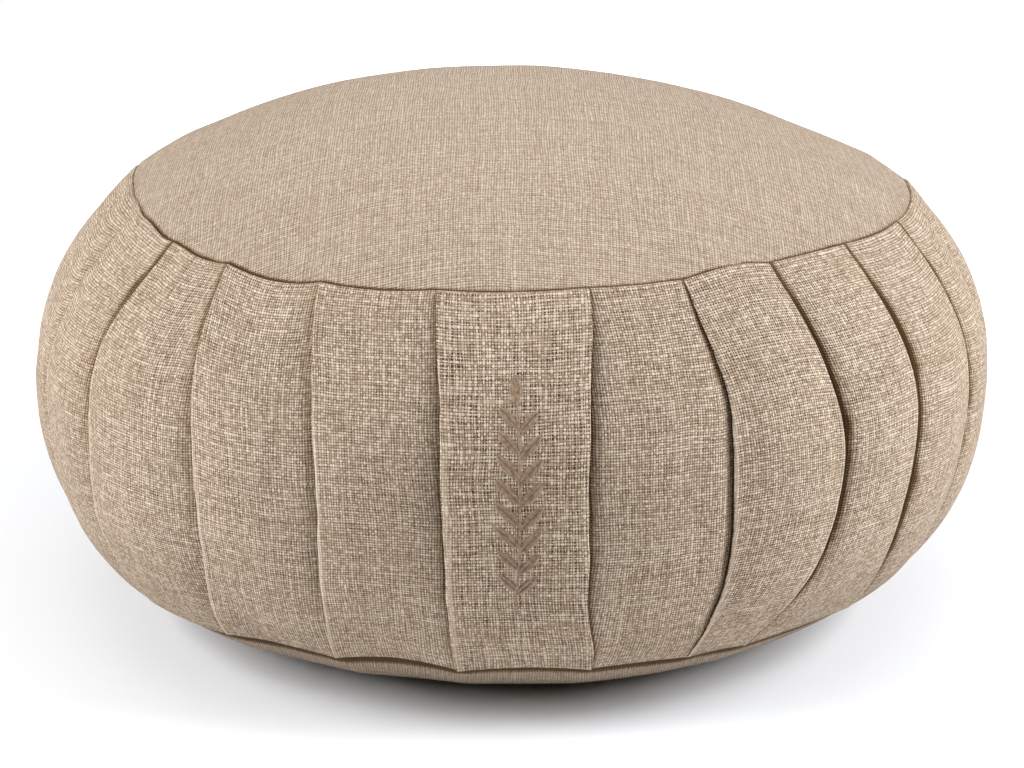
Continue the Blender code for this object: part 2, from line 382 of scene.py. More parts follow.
@dataclass
class ClothGrid:
    """A flat grid of cloth that is folded into place and keeps its flat measures as a map."""

    name: str
    columns: int
    rows: int

    def fold(
        self,
        place: Callable[[int, int], Vector],
        flat: Callable[[int, int], Pair],
        hidden: Callable[[int, int], float],
    ) -> bpy.types.Object:
        """Makes the grid and moves every corner of it to its place.

        Args:
            place: gives the place of the corner in a column and row.
            flat: gives its two measures on the flat cloth, in metres.
            hidden: gives how much painted shade it gets inside a fold or seam, from 0 to 1, and below
                0 a painted highlight.

        Returns:
            The folded piece, with its doubles merged and its faces outwards.
        """
        mesh = bmesh.new()
        bmesh.ops.create_grid(mesh, x_segments=self.columns - 1, y_segments=self.rows - 1, size=0.5)
        measures = {}
        inside = mesh.verts.layers.float.new(INSIDE_MAP)
        for vertex in mesh.verts:
            column = round((vertex.co.x + 0.5) * (self.columns - 1))
            row = round((vertex.co.y + 0.5) * (self.rows - 1))
            measures[vertex.index] = flat(column, row)
            vertex.co = place(column, row)
            vertex[inside] = hidden(column, row)
        layer = mesh.loops.layers.uv.new(CLOTH_MAP)
        for face in mesh.faces:
            for corner in face.loops:
                corner[layer].uv = measures[corner.vert.index]
        bmesh.ops.remove_doubles(mesh, verts=mesh.verts, dist=MERGED)
        return finished_piece(self.name, mesh)


@dataclass(frozen=True)
class RowPlace:
    """Where a row of a cloth grid lies: on the side, or past one of its ends.

    Attributes:
        inner: the side's row that it is, or that is nearest.
        inward: how many rows past the side's end it is, below 0 on the side itself.
        up: 1 nearer the top seam, -1 nearer the bottom one.
    """

    inner: int
    inward: int
    up: int

    @classmethod
    def find(cls, row: int, lead: int, side_rows: int) -> "RowPlace":
        """The place of a row in a grid with some rows before and after the side's own."""
        inner = min(max(row - lead, 0), side_rows)
        inward = max(lead - row, row - lead - side_rows)
        return cls(inner, inward, 1 if row < lead + side_rows / 2 else -1)

    @property
    def turned(self) -> int:
        """How many rows past the side's end it is, 0 on the side itself."""
        return max(self.inward, 0)


def finished_piece(name: str, mesh: bmesh.types.BMesh) -> bpy.types.Object:
    """A smooth-shaded object at the origin from a bmesh, its faces outwards.

    Args:
        name: the piece's name.
        mesh: the bmesh, which is freed.

    Returns:
        The new object, linked to the scene.
    """
    bmesh.ops.recalc_face_normals(mesh, faces=mesh.faces)
    data = bpy.data.meshes.new(name)
    mesh.to_mesh(data)
    mesh.free()
    data.shade_smooth()
    item = bpy.data.objects.new(name, data)
    bpy.context.scene.collection.objects.link(item)
    return item


def thicken(item: bpy.types.Object, thickness: float, offset: float = -1.0) -> None:
    """Gives a sheet its thickness with a live Solidify.

    Args:
        item: the sheet.
        thickness: in metres.
        offset: -1 grows inwards, 1 outwards.
    """
    wall = item.modifiers.new("cloth_thickness", "SOLIDIFY")
    wall.thickness = thickness
    wall.offset = offset
    wall.use_even_offset = False


class SeamTurn:
    """The way cloth rolls over and goes down into a seam."""

    steps: int = 5
    roll: float = 0.8 * MM
    groove: float = 1.1 * MM
    depth: float = 3.0 * MM
    pinch: float = 0.6 * MM
    top_lean: float = math.radians(38)
    bottom_lean: float = math.radians(40)

    @classmethod
    def place(
        cls, radius: float, height: float, seam_radius: float, step: int, up: int
    ) -> Pair:
        """A spot on the roll from the side's edge into the seam.

        Args:
            radius: radius where the side's cloth ends.
            height: height of the seam there.
            seam_radius: radius of the seam itself.
            step: from 1, the start of the roll, to steps + 1, its deep end.
            up: 1 at the top seam, -1 at the bottom seam.

        Returns:
            The radius and the height of the spot.
        """
        if step > cls.steps:
            return seam_radius - cls.groove, height - up * cls.depth
        lean = cls.top_lean if up > 0 else cls.bottom_lean
        part = step / cls.steps
        turn = lean + part * (math.pi - lean)
        rolled = radius - cls.roll * math.cos(lean) + cls.roll * math.cos(turn)
        raised = cls.roll * (math.sin(turn) - math.sin(lean))
        mix = part * part
        drawn = rolled + mix * (seam_radius - cls.groove - rolled)
        return drawn, height + up * (raised - mix * cls.pinch)


@dataclass
class Spot:
    """One column of the folded side: where it lies between or on folds.

    Attributes:
        kind: panel, lip or tuck.
        pleat: number of the fold that it belongs to, or that starts its panel.
        part: how far along its own stretch it is, from 0 to 1.
        before: where that stretch starts after the panel's first end, in metres.
        after: where it stops before the panel's last end, in metres.
    """

    kind: str
    pleat: int
    part: float
    before: float = 0.0
    after: float = 0.0


@dataclass
class PleatedSide:
    """The knife-pleated side, as one closed filled form."""

    form: CushionForm
    pleats: list[Pleat] = field(default_factory=list)
    panel_steps: int = 8
    lip_steps: int = 5
    tuck_steps: int = 2
    side_rows: int = 78
    tuck: float = 7.0 * MM
    seam_share: float = 0.32
    layer: float = 0.35 * MM
    held_back: float = 0.9 * MM
    cap_ring: float = 0.6
    under_crown: float = 4.0 * MM
    over_base: float = 3.0 * MM

    def __post_init__(self) -> None:
        """Puts the folds in order round the cushion and lists the columns between them."""
        self.pleats = [*FRONT_PLEATS, *back_pleats()]
        self.pleats.append(self.pleats[0].turned())
        self.angles: dict[tuple[int, float], float] = {}
        self.spots = self._spots()
        self.shares = [self._row_share(row) for row in range(self.side_rows + 1)]
        self.down = self._lengths_down()
        self.cap_rows = 2 + SeamTurn.steps + 1

    def _row_share(self, row: int) -> float:
        """Rows lie closer together towards the seams."""
        even = row / self.side_rows
        return 0.55 * even + 0.45 * (0.5 - 0.5 * math.cos(math.pi * even))

    def height(self, share: float) -> float:
        """Height at a share of the way down the even side."""
        return self.form.top_seam_z + share * (self.form.bottom_seam_z - self.form.top_seam_z)

    def even_radius(self, share: float) -> float:
        """Radius of the even side at a share of the way down."""
        form = self.form
        seams = (form.top_seam_radius, form.bottom_seam_radius)
        return form.side_radius(self.height(share), form.top_seam_z, form.bottom_seam_z, seams)

    def _lengths_down(self) -> list[float]:
        """Length of cloth from the top seam to each row."""
        corners = [(self.even_radius(share), self.height(share)) for share in self.shares]
        lengths = [0.0]
        for before, here in zip(corners, corners[1:]):
            lengths.append(lengths[-1] + math.dist(before, here))
        return lengths

    def _spots(self) -> list[Spot]:
        """All columns in order round the cushion."""
        spots = []
        for number in range(len(self.pleats) - 1):
            following = self.pleats[number + 1]
            left = self._end_columns(self.pleats[number], FoldWay.LEFT)
            right = self._end_columns(following, FoldWay.RIGHT)
            spots += [Spot("panel", number, 0.0, before=offset) for offset in left]
            for step in range(1, self.panel_steps):
                spots.append(Spot("panel", number, step / self.panel_steps, left[-1], right[-1]))
            spots += [Spot("panel", number, 1.0, after=offset) for offset in right[::-1]]
            if following.way is FoldWay.HIDDEN:
                continue
            lips, tucks = self.lip_steps, self.tuck_steps
            fold = [Spot("lip", number + 1, step / lips) for step in range(1, lips + 1)]
            fold += [Spot("tuck", number + 1, step / (tucks + 1)) for step in range(1, tucks + 1)]
            spots += fold if following.way is FoldWay.RIGHT else fold[::-1]
        return [*spots, Spot("panel", len(self.pleats) - 1, 0.0)]

    @staticmethod
    def _end_columns(pleat: Pleat, over: FoldWay) -> list[float]:
        """Where the columns near one end of a panel lie, in metres from that end."""
        if pleat.way is FoldWay.HIDDEN:
            return [offset * MM for offset in HIDDEN_COLUMNS]
        return [offset * MM for offset in (OVER_COLUMNS if pleat.way is over else TUCKED_COLUMNS)]

    def lift_share(self, share: float) -> float:
        """Folds stand off most at the belly and are drawn flat into the seams."""
        return self.seam_share + (1 - self.seam_share) * arch(share, 0.8)

    def lift(self, number: int, share: float) -> float:
        """How far the cloth over a fold stands off, with a little unevenness."""
        pleat = self.pleats[number]
        uneven = 1 + 0.16 * ripple(7.0 * share, 3.1 * (number % (len(self.pleats) - 1)), 4.2)
        return pleat.lift * MM * self.lift_share(share) * uneven

    def lip(self, number: int, share: float) -> float:
        """Radius of a fold's rounded edge."""
        round_edge = self.pleats[number].lip * MM * (0.45 + 0.55 * self.lift_share(share))
        return min(round_edge, 0.4 * self.lift(number, share))

    def valley(self, number: int, away: float, share: float) -> float:
        """How far the lower cloth sinks at a distance from a fold's edge."""
        pleat = self.pleats[number]
        depth = pleat.valley * MM * arch(share, 0.7)
        return depth * math.exp(-((max(away, 0.0) / (pleat.reach * MM)) ** 2))

    def bead(self, away: float, share: float) -> float:
        """A slight rim along the upper cloth's edge, and the shallow dent behind it."""
        fade = arch(share, 0.5)
        rim, dent = away / (1.2 * MM), (away - 4.2 * MM) / (2.2 * MM)
        return fade * MM * (0.25 * math.exp(-rim * rim) - 0.35 * math.exp(-dent * dent))

    def fold_angle(self, number: int, share: float) -> float:
        """Angle of a fold, with a slight wander of its edge."""
        key = (number, share)
        if key not in self.angles:
            turn = number % (len(self.pleats) - 1)
            wander = 0.6 * ripple(5.0 * share, 1.9 * turn, 8.8)
            wander += 0.20 * ripple(13.0 * share, 1.3 * turn, 2.7)
            fade = max(min(1.0, 8 * share, 8 * (1 - share)), 0.0)
            self.angles[key] = self.pleats[number].angle(share) + math.radians(0.6 * wander * fade)
        return self.angles[key]

    def seam_offsets(self, pleat: Pleat, part: float) -> Pair:
        """How far the top seam dips and the bottom seam rises in a panel."""
        bow = 4 * part * (1 - part)
        return pleat.seam_dip * MM * bow, pleat.hem_rise * MM * bow

    def seen_panel(self, number: int, angle: float, share: float) -> tuple[Pleat, float]:
        """The panel that is seen at an angle, and the part of the way across it.

        Args:
            number: a panel that it is, or that lies beside it.
            angle: the angle.
            share: how far down the side.

        Returns:
            The fold that starts the panel, and a part from 0 to 1.
        """
        count = len(self.pleats) - 1
        for step in (0, -1, 1):
            turns, panel = divmod(number + step, count)
            left = self.fold_angle(panel, share) + turns * FULL_TURN
            right = self.fold_angle(panel + 1, share) + turns * FULL_TURN
            if left <= angle <= right:
                return self.pleats[panel], (angle - left) / (right - left)
        return self.pleats[number % count], 0.0

    def base(self, number: int, angle: float, share: float) -> Pair:
        """Bare radius and height at an angle on a panel or just beside it."""
        dip, rise = self.seam_offsets(*self.seen_panel(number, angle, share))
        seam_radius, seam_z = self.form.top_seam(angle)
        top, bottom = seam_z - dip, self.form.bottom_seam_z + rise
        height = top + share * (bottom - top)
        seams = (seam_radius, self.form.bottom_seam(angle))
        return self.form.side_radius(height, top, bottom, seams), height

    def wrinkle(self, angle: float, share: float) -> float:
        """Unevenness of the filled cloth, outwards, in metres."""
        around = angle * self.form.belly_radius / CENTIMETRE
        down = share * self.down[-1] / CENTIMETRE
        edge = max(share, 0.0) if share < 0.5 else max(1 - share, 0.0)
        fade = min(1.0, 12 * edge)
        broad = 0.9 * ripple(0.22 * around, 0.28 * down, 1.0) * fade
        soft = 0.28 * ripple(0.9 * around, 0.16 * down, 5.0) * fade
        small = 0.10 * ripple(1.6 * around, 1.2 * down, 9.0) * fade
        gather = 0.55 * ripple(1.5 * around, 0.22 * down, 13.0) * math.exp(-edge * 13)
        gather *= min(1.0, 60 * edge)
        sunk = sum(crease.sink(angle, share, self.form.belly_radius) for crease in CREASES)
        return (broad + soft + small + gather) * MM - sunk

    def beside_fold(self, number: int, is_over: bool, away: float, share: float) -> float:
        """How far a panel's cloth rises, or sinks where it is the lower one, beside a fold."""
        return self.bead(away, share) if is_over else -self.valley(number, away, share)

    def panel_spot(self, spot: Spot, share: float) -> Pair:
        """Angle and stand-off of a spot on a panel."""
        number = spot.pleat
        start, end = self.pleats[number], self.pleats[number + 1]
        radius = self.even_radius(share)
        left, right = self.fold_angle(number, share), self.fold_angle(number + 1, share)
        over_left, over_right = start.way is FoldWay.LEFT, end.way is FoldWay.RIGHT
        first, last = left, right
        if over_left:
            first += self.lip(number, share) / radius
        elif start.way is FoldWay.RIGHT:
            first -= self.tuck / radius
        if over_right:
            last -= self.lip(number + 1, share) / radius
        elif end.way is FoldWay.LEFT:
            last += self.tuck / radius
        stretch = (last - first) * radius - spot.before - spot.after
        angle = first + (spot.before + spot.part * stretch) / radius
        shown = min(max((angle - left) / (right - left), 0.0), 1.0)
        from_left, from_right = (angle - left) * radius, (right - angle) * radius
        low_left = self.lift(number, share) if over_left else 0.0
        low_right = self.lift(number + 1, share) if over_right else 0.0
        level = low_left + smooth_step(-0.1, 1.1, shown) * (low_right - low_left)
        level += self.beside_fold(number, over_left, from_left, share)
        level += self.beside_fold(number + 1, over_right, from_right, share)
        puff = start.puff * MM * (4 * shown * (1 - shown)) ** 0.8 * arch(share, 0.6)
        return angle, level + puff

    def fold_spot(self, spot: Spot, share: float) -> Pair:
        """Angle and stand-off of a spot on a fold's lip or on the cloth tucked behind it."""
        number, radius = spot.pleat, self.even_radius(share)
        side = self.pleats[number].way.value
        edge, lip = self.fold_angle(number, share), self.lip(number, share)
        outer = self.lift(number, share) + self.bead(lip, share)
        if spot.kind == "lip":
            turn = math.pi * (0.5 - spot.part)
            back = -lip + lip * math.cos(turn)
            level = outer - lip + lip * math.sin(turn)
        else:
            back = -lip + spot.part * (lip - self.tuck)
            deep = self.layer - self.valley(number, 0.0, share)
            level = (outer - 2 * lip) + spot.part * (deep - outer + 2 * lip)
        return edge + side * back / radius, level

    def spot_place(self, column: int, share: float) -> Triple:
        """Angle, radius and height of a column at a share of the way down."""
        spot = self.spots[column]
        if spot.kind == "panel" and spot.pleat == len(self.pleats) - 1:
            angle, radius, height = self.spot_place(0, share)
            return angle + FULL_TURN, radius, height
        if spot.kind == "panel":
            angle, out = self.panel_spot(spot, share)
        else:
            angle, out = self.fold_spot(spot, share)
        radius, height = self.base(spot.pleat, angle, share)
        turn = angle if angle < WRAP_ANGLE else angle - FULL_TURN
        return angle, radius + out + self.wrinkle(turn, share), height

    def inset(self, column: int, share: float) -> float:
        """How far the cloth inside a fold stays back from the seam, in metres."""
        spot = self.spots[column]
        if spot.kind == "lip":
            return self.held_back * smooth_step(0.3, 1.0, spot.part)
        if spot.kind == "tuck":
            return self.held_back
        if spot.pleat == len(self.pleats) - 1:
            return self.inset(0, share)
        number = spot.pleat
        angle, _ = self.panel_spot(spot, share)
        left, right = self.fold_angle(number, share), self.fold_angle(number + 1, share)
        beyond = max(left - angle, angle - right)
        return self.held_back * smooth_step(0.0, 2.0 * MM, beyond * self.even_radius(share))

    def place(self, column: int, row: int) -> Vector:
        """Place of a corner of the grid, from the middle of the crown to that of the underside."""
        at = RowPlace.find(row, self.cap_rows, self.side_rows)
        up, inward = at.up, at.inward
        if inward < 0:
            angle, radius, height = self.spot_place(column, self.shares[at.inner])
            return point(radius, angle, height)
        end = 0.0 if up > 0 else 1.0
        angle, radius, height = self.spot_place(column, end)
        height -= up * self.inset(column, end)
        if inward == 0:
            return point(radius, angle, height)
        seam_radius = self.form.seam_radius(angle, up)
        if inward <= SeamTurn.steps + 1:
            turned = SeamTurn.place(radius, height, seam_radius, inward, up)
            return point(turned[0], angle, turned[1])
        part = self.cap_ring if inward == self.cap_rows - 1 else 0.0
        if up > 0:
            height = self.form.crown_height(part) - self.under_crown
        else:
            height = self.form.under_height(part) + self.over_base
        return point(part * seam_radius, angle, height)

    def flat(self, column: int, row: int) -> Pair:
        """Measures of a corner on the flat cloth: across the panel from its middle, and down."""
        at = RowPlace.find(row, self.cap_rows, self.side_rows)
        spot, share = self.spots[column], self.shares[at.inner]
        number = min(spot.pleat, len(self.pleats) - 2)
        if spot.kind != "panel" and self.pleats[spot.pleat].way is FoldWay.RIGHT:
            number = spot.pleat - 1
        middle = (self.fold_angle(number, share) + self.fold_angle(number + 1, share)) / 2
        across = (self.spot_place(column, share)[0] - middle) * self.even_radius(share)
        down = self.down[at.inner] - TURN_ROW * at.up * at.turned
        return across + PANEL_STEP[0] * number, down + PANEL_STEP[1] * number

    def hidden(self, column: int, row: int) -> float:
        """How much painted shade a corner gets in a fold or seam, from 0 to 1; below 0, how strong
        the painted highlight on a fold's edge is.
        """
        at = RowPlace.find(row, self.cap_rows, self.side_rows)
        spot, share = self.spots[column], self.shares[at.inner]
        is_top = at.up > 0
        reach = TOP_SEAM_REACH if is_top else BOTTOM_SEAM_REACH
        shade = seam_shade(self.spot_place(column, share)[0], is_top)
        seam = smooth_step(*reach, at.turned) * shade
        # Tucked cloth gets full painted shade, and a lip's inner half gets painted shade too.
        if spot.kind == "tuck":
            return 1.0
        if spot.kind == "lip":
            deep = smooth_step(0.35, 0.9, spot.part)
            return max(seam, deep) if seam + deep > 0 else -self.painted_highlight(spot.pleat, 0.0, share)
        if spot.pleat == len(self.pleats) - 1:
            return self.hidden(0, row)
        number = spot.pleat
        angle, _ = self.panel_spot(spot, share)
        radius, fold, pale = self.even_radius(share), 0.0, 0.0
        from_left = (angle - self.fold_angle(number, share)) * radius
        from_right = (self.fold_angle(number + 1, share) - angle) * radius
        ends = ((number, FoldWay.LEFT, from_left), (number + 1, FoldWay.RIGHT, from_right))
        for end, over, away in ends:
            if self.pleats[end].way is over:
                pale = max(pale, self.painted_highlight(end, away, share))
            else:
                fold = max(fold, self._shaded(end, away, share))
        return max(seam, fold) if seam + fold > 0 else -pale

    def painted_highlight(self, number: int, away: float, share: float) -> float:
        """How strong the painted highlight is on the upper cloth at a distance from its folded edge,
        from 0 to 1.
        """
        strength = EDGE_HIGHLIGHT[self.pleats[number].way] * smooth_step(0.12, 0.45, share)
        return strength * (1 - smooth_step(0.5 * MM, 1.9 * MM, away))

    def _shaded(self, number: int, away: float, share: float) -> float:
        """How much painted shade the lower cloth gets at a distance from a fold's edge, from 0 to 1.
        """
        if away < -0.1 * MM:
            return 1.0
        pleat = self.pleats[number]
        reach = pleat.shade * MM * (0.30 + 0.70 * arch(share, 0.6))
        uneven = 1 + 0.25 * ripple(14.0 * share, 2.3 * (number % (len(self.pleats) - 1)), 51.0)
        edge = 1 - smooth_step(reach * uneven, (1.25 * reach + 1.9 * MM) * uneven, away)
        start = 0.85 + 0.15 * smooth_step(0.02, 0.16, share)
        if pleat.way is FoldWay.LEFT:
            start = 1 + 0.45 * (1 - smooth_step(0.06, 0.32, share))
        fade = 1 - 0.85 * smooth_step(pleat.dark_to, pleat.dark_to + 0.3, share)
        return min(pleat.dark * start, 1.0) * edge * fade

    def build(self) -> bpy.types.Object:
        """Folds the band of cloth round the filling."""
        rows = self.side_rows + 2 * self.cap_rows + 1
        grid = ClothGrid("pleated_side_cloth", len(self.spots), rows)
        return grid.fold(self.place, self.flat, self.hidden)


@dataclass
class FrontStrip:
    """The wider centre-front strip, its long edges turned under, lying over the pleats."""

    side: PleatedSide
    left: int = 4
    outer_steps: int = 22
    lip_steps: int = 6
    stand_off: float = 3.0 * MM
    lip_radius: float = 0.95 * MM
    hem: float = 9.0 * MM
    puff: float = 1.0 * MM
    thickness: float = 0.5 * MM
    highlight_part: float = 0.05
    over_side: float = 0.1 * MM

    def __post_init__(self) -> None:
        """Lists the columns from one turned-under edge to the other."""
        outer = [("outer", step / self.outer_steps) for step in range(self.outer_steps + 1)]
        lip = [("lip", step / self.lip_steps) for step in range(1, self.lip_steps + 1)]
        hem = [("hem", 0.5), ("hem", 1.0)]
        right = [(kind, part, 1) for kind, part in [*lip, *hem]]
        left = [(kind, part, -1) for kind, part in [*hem[::-1], *lip[::-1]]]
        self.spots = [*left, *((kind, part, 0) for kind, part in outer), *right]

    def stand(self, share: float) -> float:
        """How far the strip stands off the bare side."""
        return self.stand_off * (0.5 + 0.5 * arch(share, 0.7))

    def edges(self, share: float) -> Pair:
        """Angles of the strip's two edges."""
        return self.side.fold_angle(self.left, share), self.side.fold_angle(self.left + 1, share)

    def spot_place(self, column: int, share: float) -> Triple:
        """Angle, radius and height of a column at a share of the way down."""
        kind, part, hand = self.spots[column]
        left, right = self.edges(share)
        even, stand = self.side.even_radius(share), self.stand(share)
        lip = min(self.lip_radius, 0.4 * stand)
        edge = left if hand < 0 else right
        if kind == "outer":
            angle = left + lip / even + part * (right - left - 2 * lip / even)
            out = stand + self.surface_puff(part, angle, share)
        elif kind == "lip":
            turn = math.pi * (0.5 - part)
            angle = edge + hand * (-lip + lip * math.cos(turn)) / even
            out = stand - lip + lip * math.sin(turn)
        else:
            angle = edge + hand * (-lip - part * self.hem) / even
            out = stand - 2 * lip - 0.3 * part * (stand - 2 * lip)
        radius, height = self.side.base(self.left, angle, share)
        return angle, radius + out, height

    def surface_puff(self, part: float, angle: float, share: float) -> float:
        """How far the strip's face bulges at a spot."""
        bow = (4 * part * (1 - part)) ** 0.8 * arch(share, 0.6)
        around = angle * self.side.form.belly_radius / CENTIMETRE
        down = share * self.side.down[-1] / CENTIMETRE
        soft = 0.35 * ripple(0.5 * around, 0.3 * down, 21.0)
        soft += 0.10 * ripple(1.4 * around, 0.8 * down, 25.0)
        by_edge, by_end = min(1.0, 8 * part, 8 * (1 - part)), min(1.0, 9 * share, 9 * (1 - share))
        return self.puff * bow + soft * MM * by_edge * by_end

    def place(self, column: int, row: int) -> Vector:
        """Place of a corner of the strip, its short ends turned into the seams."""
        at = self.row_place(row)
        if at.inward < 0:
            angle, radius, height = self.spot_place(column, self.side.shares[at.inner])
            return point(radius, angle, height)
        kind, part, _ = self.spots[column]
        angle, radius, height = self.spot_place(column, 0.0 if at.up > 0 else 1.0)
        back = {"outer": 0.0, "lip": smooth_step(0.3, 1.0, part), "hem": 1.0}[kind]
        height -= at.up * self.side.held_back * back
        if at.inward == 0:
            return point(radius, angle, height)
        seam_radius = self.side.form.seam_radius(angle, at.up)
        spot = SeamTurn.place(radius, height, seam_radius, at.inward, at.up)
        return point(spot[0] + self.over_side, angle, spot[1])

    def row_place(self, row: int) -> RowPlace:
        """Where a row of the strip's grid lies."""
        return RowPlace.find(row, SeamTurn.steps + 1, self.side.side_rows)

    def flat(self, column: int, row: int) -> Pair:
        """Measures of a corner on the flat cloth."""
        at = self.row_place(row)
        share = self.side.shares[at.inner]
        left, right = self.edges(share)
        angle, radius, _ = self.spot_place(column, share)
        across = (angle - (left + right) / 2) * radius
        return across, self.side.down[at.inner] - TURN_ROW * at.up * at.turned

    def hidden(self, column: int, row: int) -> float:
        """How much painted shade a corner gets in a seam or on the turned-under edges, from 0 to 1;
        below 0, how strong a painted highlight is near the face's left edge.
        """
        at = self.row_place(row)
        seam = smooth_step(*TOP_SEAM_REACH, at.turned)
        kind, part, _ = self.spots[column]
        edge = {"outer": 0.0, "lip": smooth_step(0.4, 1.0, part), "hem": 1.0}[kind]
        if kind == "outer" and seam == 0.0 and part < self.highlight_part:
            share = self.side.shares[at.inner]
            return -0.6 * smooth_step(0.2, 0.5, share) * (1 - part / self.highlight_part)
        return max(seam, edge)

    def surface(self, across: float, share: float) -> tuple[Vector, Vector]:
        """A spot on the strip's face and the outward normal there.

        Args:
            across: metres to the right of the strip's middle line.
            share: how far down the side.

        Returns:
            The spot and the normal.
        """
        left, right = self.edges(share)
        part = 0.5 + across / ((right - left) * self.side.even_radius(share))
        spots = []
        for step_part, step_share in ((part, share), (part + 0.01, share), (part, share + 0.01)):
            edge_left, edge_right = self.edges(step_share)
            angle = edge_left + step_part * (edge_right - edge_left)
            bare, height = self.side.base(self.left, angle, step_share)
            out = self.stand(step_share) + self.surface_puff(step_part, angle, step_share)
            spots.append(point(bare + out, angle, height))
        normal = (spots[2] - spots[0]).cross(spots[1] - spots[0]).normalized()
        if normal.y > 0:
            normal.negate()
        return spots[0], normal

    def build(self) -> bpy.types.Object:
        """Folds the strip and lays it over the side."""
        rows = self.side.side_rows + 2 * (SeamTurn.steps + 1) + 1
        grid = ClothGrid("front_strip_cloth", len(self.spots), rows)
        item = grid.fold(self.place, self.flat, self.hidden)
        thicken(item, self.thickness)
        return item


@dataclass
class RoundPanel:
    """A round panel, domed by the filling, its edge rolled into a seam."""

    side: PleatedSide
    name: str
    is_top: bool
    rings: int = 44
    steps: int = 300
    thickness: float = 0.6 * MM
    roll: float = 1.2 * MM
    roll_rings: int = 5
    seam_gap: float = 1.0 * MM
    painted_shade_edge: float = 1.7 * MM
    turned_in: float = 2.2 * MM
    closure: float = 1.6 * MM
    slope: float = 0.018

    @property
    def seam_radius(self) -> float:
        """Radius of the seam that holds the panel."""
        return self.side.form.top_seam_radius if self.is_top else self.side.form.bottom_seam_radius

    def profile(self) -> list[Pair]:
        """Radius and height from the middle out to the seam, then down into it."""
        form = self.side.form
        up = 1 if self.is_top else -1
        lean = math.radians(58 if self.is_top else 46)
        reach = self.seam_radius - self.seam_gap - self.roll * (1 - math.cos(lean))
        spots = []
        for ring in range(self.rings + 1):
            even = ring / self.rings
            part = 0.45 * even**0.9 + 0.55 * math.sin(math.pi / 2 * even)
            height = form.crown_height(part) if self.is_top else form.under_height(part)
            spots.append((part * reach, height))
        radius, height = spots[-1]
        centre = (radius - self.roll * math.cos(lean), height - up * self.roll * math.sin(lean))
        for step in range(1, self.roll_rings + 1):
            turn = lean * (1 - step / self.roll_rings)
            out, rise = self.roll * math.cos(turn), self.roll * math.sin(turn)
            spots.append((centre[0] + out, centre[1] + up * rise))
        spots.append((spots[-1][0], spots[-1][1] - up * self.turned_in))
        return spots

    def seam_shift(self, angle: float) -> float:
        """How far the panels that the seam holds draw it below its even height at an angle."""
        side, share = self.side, 0.0 if self.is_top else 1.0
        for number in range(len(side.pleats) - 1):
            left, right = side.fold_angle(number, share), side.fold_angle(number + 1, share)
            turn = angle if angle >= left else angle + FULL_TURN
            if left <= turn < right:
                part = (turn - left) / (right - left)
                dip, rise = side.seam_offsets(side.pleats[number], part)
                return dip if self.is_top else -rise
        return 0.0

    def build(self) -> bpy.types.Object:
        """Spins the profile, then lets the seam pull and pucker the edge."""
        form = self.side.form
        mesh = bmesh.new()
        line = [mesh.verts.new((0.0, -radius, height)) for radius, height in self.profile()]
        edges = [mesh.edges.new(pair) for pair in zip(line, line[1:])]
        bmesh.ops.spin(
            mesh, geom=[*line, *edges], cent=(0, 0, 0), axis=(0, 0, 1), angle=FULL_TURN,
            steps=self.steps, use_merge=True,
        )
        bmesh.ops.remove_doubles(mesh, verts=mesh.verts, dist=MERGED)
        shifts = {}
        inside = mesh.verts.layers.float.new(INSIDE_MAP)
        for vertex in mesh.verts:
            radius = vertex.co.xy.length
            angle = math.atan2(vertex.co.x, -vertex.co.y)
            key = round(angle, 4)
            if key not in shifts:
                shifts[key] = self.seam_shift(angle)
            part = min(radius / self.seam_radius, 1.0)
            vertex.co.z += self._uneven(vertex.co, angle, part) - shifts[key] * part**7
            if self.is_top:
                drawn = part * (1 - along_seam(SEAM_PULLS, angle) / self.seam_radius)
                vertex.co.z += form.crown_height(drawn) - form.crown_height(part)
                vertex.co.z -= self.slope * vertex.co.x * (1 - part**4)
                closed = smooth_step(70, 100, abs(math.degrees(angle)))
                vertex.co.z += self.closure * closed * smooth_step(0.80, 0.97, part)
            else:
                drawn = part * (1 + along_seam(HEM_PUSHES, angle) / self.seam_radius * part**3)
            vertex.co.xy *= drawn / max(part, 0.001)
            # Painted shade: the cloth darkens as it rolls into the seam, over a wider zone at the
            # front.
            edge = radius - self.seam_radius + self.seam_gap
            zone = self.painted_shade_edge * (1 - 0.55 * smooth_step(50, 85, abs(math.degrees(angle))))
            vertex[inside] = smooth_step(-zone, -0.6 * zone, edge) * seam_shade(angle, self.is_top)
        layer = mesh.loops.layers.uv.new(CLOTH_MAP)
        for face in mesh.faces:
            for corner in face.loops:
                corner[layer].uv = corner.vert.co.xy
        item = finished_piece(self.name, mesh)
        thicken(item, self.thickness)
        return item

    def _uneven(self, spot: Vector, angle: float, part: float) -> float:
        """Broad unevenness of the filling and small puckers near the seam."""
        if not self.is_top and spot.z < 2.0 * MM:
            return 0.0
        broad = 1.1 * ripple(spot.x / 0.07, spot.y / 0.07, 31.0)
        broad += 0.3 * ripple(spot.x / 0.022, spot.y / 0.022, 35.0)
        edge = (1 - part) * self.seam_radius
        pucker = 0.5 * ripple(angle * 26.0, edge / 0.02, 41.0) * math.exp(-edge / 0.009)
        fade = smooth_step(0.0, 0.012, edge)
        rough = broad * fade + pucker * smooth_step(0.0, 0.002, edge)
        return rough * MM * (1 if self.is_top else 0.5)


